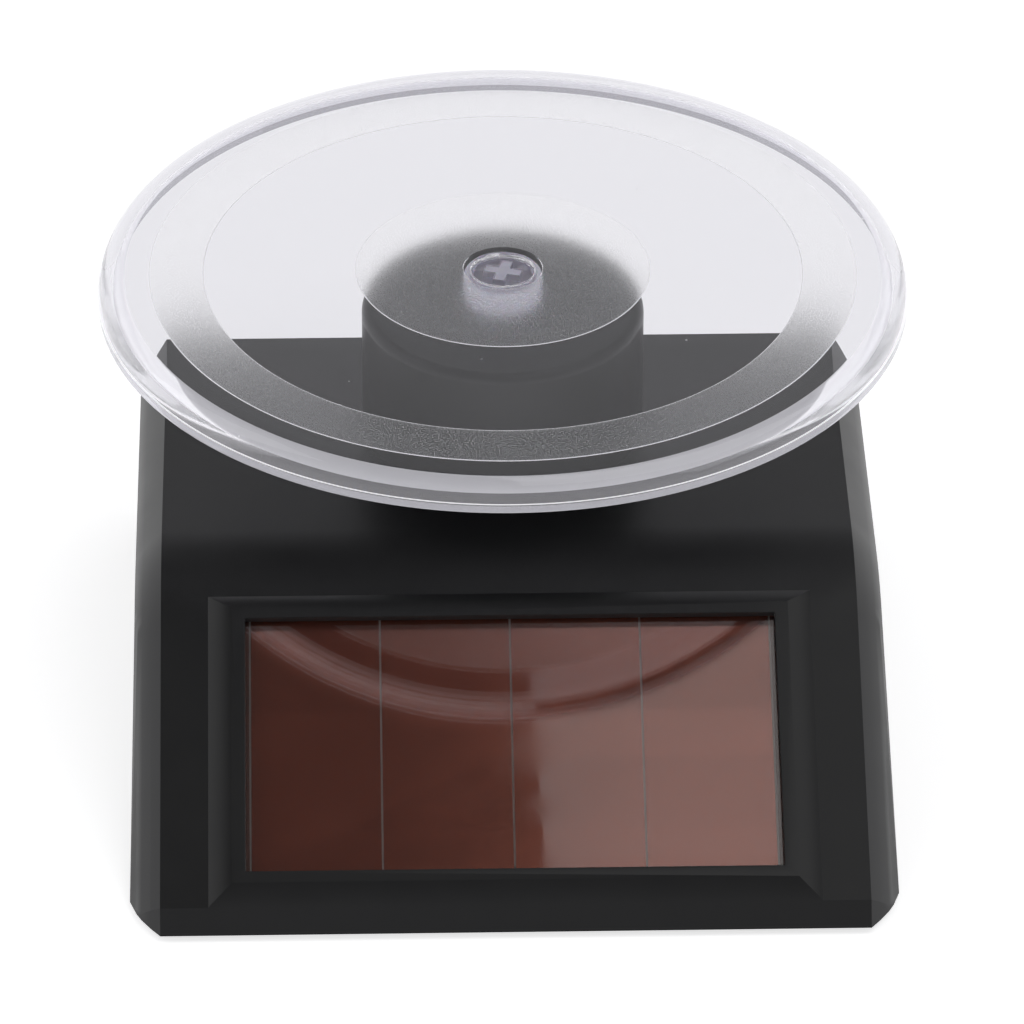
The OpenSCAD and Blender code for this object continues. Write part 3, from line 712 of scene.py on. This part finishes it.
def make_shaft():
    """The drive shaft: spigot, collar and stem below, and the cup with its cross-shaped tip above."""
    foot = (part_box("drive_shaft")[0][2] - AXIS.z) / MM
    edge = SHAFT_CHAMFER
    collar_low, collar_high = COLLAR
    outline = [
        (PIN_R, foot), (SPIGOT_R - edge, foot), (SPIGOT_R, foot + edge), (SPIGOT_R, collar_low),
        (COLLAR_R - edge, collar_low), (COLLAR_R, collar_low + edge), (COLLAR_R, collar_high - edge),
        (COLLAR_R - edge, collar_high), (STEM_R, collar_high), (STEM_R, CUP_LOW), (CUP_R - 0.5, CUP_LOW)]
    outline += arc((CUP_R - 2 * edge, CUP_LOW + 2 * edge), 2 * edge, -75, 0, 4)
    outline += arc((CUP_R - edge, CUP_HIGH - edge), edge, 0, 90, 4)
    outline += arc((CUP_IN_R + edge, CUP_HIGH - edge), edge, 90, 180, 4)
    outline += [(CUP_IN_R, CUP_FLOOR), (0, CUP_FLOOR), (0, PIN_BORE_TOP), (PIN_R, PIN_BORE_TOP)]
    bm = lathe(outline, 96)
    for bar in cross_bars(CROSS_ARM, CROSS_W, CUP_FLOOR - 0.4, TIP_Z):
        bm = combine(bm, bar, "UNION")
    # The cup's floor gets a darker, less clear grey: painted shade in the hollow of the cup.
    piece = link_mesh("shaft_head", bm, [
        milky_plastic("milky_shaft"),
        hazy_plastic("cup_floor", (0.40, 0.38, 0.44, 1), 0.3, 0.3, 0.0)])
    for polygon in piece.data.polygons:
        if abs((polygon.center.z - AXIS.z) / MM - CUP_FLOOR) < 0.01:
            polygon.material_index = 1
    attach(piece, "drive")
    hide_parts("drive_shaft")


# ---------------------------------------------------------------- the carried-over pieces

def paint(material, *names):
    for name in names:
        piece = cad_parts[name]
        piece.data.materials.clear()
        piece.data.materials.append(material)


# ---------------------------------------------------------------- build

# The middle of the overhead light's left edge, which shows in the panel
LIGHT_EDGE = (0.024, -0.04)
LIGHT_TURN = math.radians(4)
LIGHT_H = 0.9
LIGHT_SIZE = (0.8, 0.9)
# Length of the bare metal end of the cell's wrapper, and the diode's pale band
CELL_TIP = 0.0165
DIODE_BAND = 0.001

add_camera()
add_stage()
add_world()
over_x = LIGHT_EDGE[0] + LIGHT_SIZE[0] / 2 * math.cos(LIGHT_TURN)
over_y = LIGHT_EDGE[1] + LIGHT_SIZE[0] / 2 * math.sin(LIGHT_TURN)
add_area("overhead_right", (over_x, over_y, LIGHT_H), (over_x, over_y, 0), LIGHT_SIZE, 1.0, LIGHT_TURN)
add_area("softbox_left", (-0.62, 0.15, 0.66), (0, 0, 0.02), (0.5, 0.6), 1.1)

make_housing(surface("housing_black", (0.008, 0.008, 0.0085), 0.36, scale=9000.0, bump=0.06,
                     Specular_IOR_Level=0.36))
make_plate()
make_shaft()

paint(surface("bright_steel", (0.56, 0.57, 0.58), 0.28, metallic=1.0, scale=2500.0),
      "cover_screws", "plate_screws", "pillar_screws", "motor_screws")
paint(surface("white_plastic", (0.78, 0.77, 0.73), 0.42, scale=3500.0,
              Subsurface_Weight=0.15, Subsurface_Scale=0.001),
      "tower_bush", "gearbox_top_plate", "motor_plate", "motor_end_cap")
paint(surface("brass", (0.80, 0.60, 0.27), 0.3, metallic=1.0, scale=2500.0),
      "motor_pinion", "motor_tags", "switch_tags")
paint(surface("cover_black", (0.011, 0.011, 0.012), 0.5, scale=2600.0, bump=0.35),
      "bottom_cover", "battery_door")
paint(surface("knob_black", (0.014, 0.014, 0.015), 0.32), "switch_knob")
paint(surface("rubber", (0.022, 0.022, 0.023), 0.75, scale=2200.0, bump=0.4), "rubber_feet")
paint(surface("ground_pin", (0.62, 0.63, 0.65), 0.16, metallic=1.0),
      "output_pin", "gear_axle", "motor_shaft")
paint(surface("zinc_can", (0.5, 0.51, 0.53), 0.36, metallic=1.0, scale=1500.0, spread=0.1), "motor_can")
paint(surface("gear_nylon", (0.82, 0.81, 0.78), 0.35, Subsurface_Weight=0.3, Subsurface_Scale=0.001),
      "output_gear", "double_gear_lower", "double_gear_middle", "double_gear_upper")
paint(panel_glass("panel_glass"), "panel_glass")
paint(surface("cells", (0.30, 0.082, 0.047), 0.13, metallic=0.5, scale=5000.0, bump=0.02, spread=0.03),
      "panel_cells")
paint(cell_film("cell_film"), "panel_back_film")
paint(surface("tape", (0.010, 0.010, 0.010), 0.55), "panel_tape")
paint(two_tone("cell_wrap", "X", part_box("aa_cell")[1][0] - CELL_TIP,
               (0.03, 0.10, 0.06), (0.72, 0.70, 0.66), 0.3, 0.55),
      "aa_cell")
paint(surface("nickel", (0.66, 0.64, 0.6), 0.25, metallic=1.0, scale=2500.0),
      "positive_contact", "negative_contact", "battery_spring", "switch_body")
paint(surface("red_pvc", (0.42, 0.02, 0.015), 0.4, scale=2500.0), "solar_leads", "motor_lead")
paint(surface("black_pvc", (0.015, 0.015, 0.016), 0.4, scale=2500.0), "battery_leads")
paint(two_tone("diode", "Y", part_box("blocking_diode")[1][1] - DIODE_BAND,
               (0.02, 0.02, 0.02), (0.6, 0.6, 0.6), 0.4, 0.0),
      "blocking_diode")

# Light runs far inside the clear plate, from face to face, before it leaves at the rim
cycles = bpy.context.scene.cycles
cycles.max_bounces = cycles.glossy_bounces = cycles.transmission_bounces = 64
bpy.context.scene.view_settings.view_transform = "Standard"
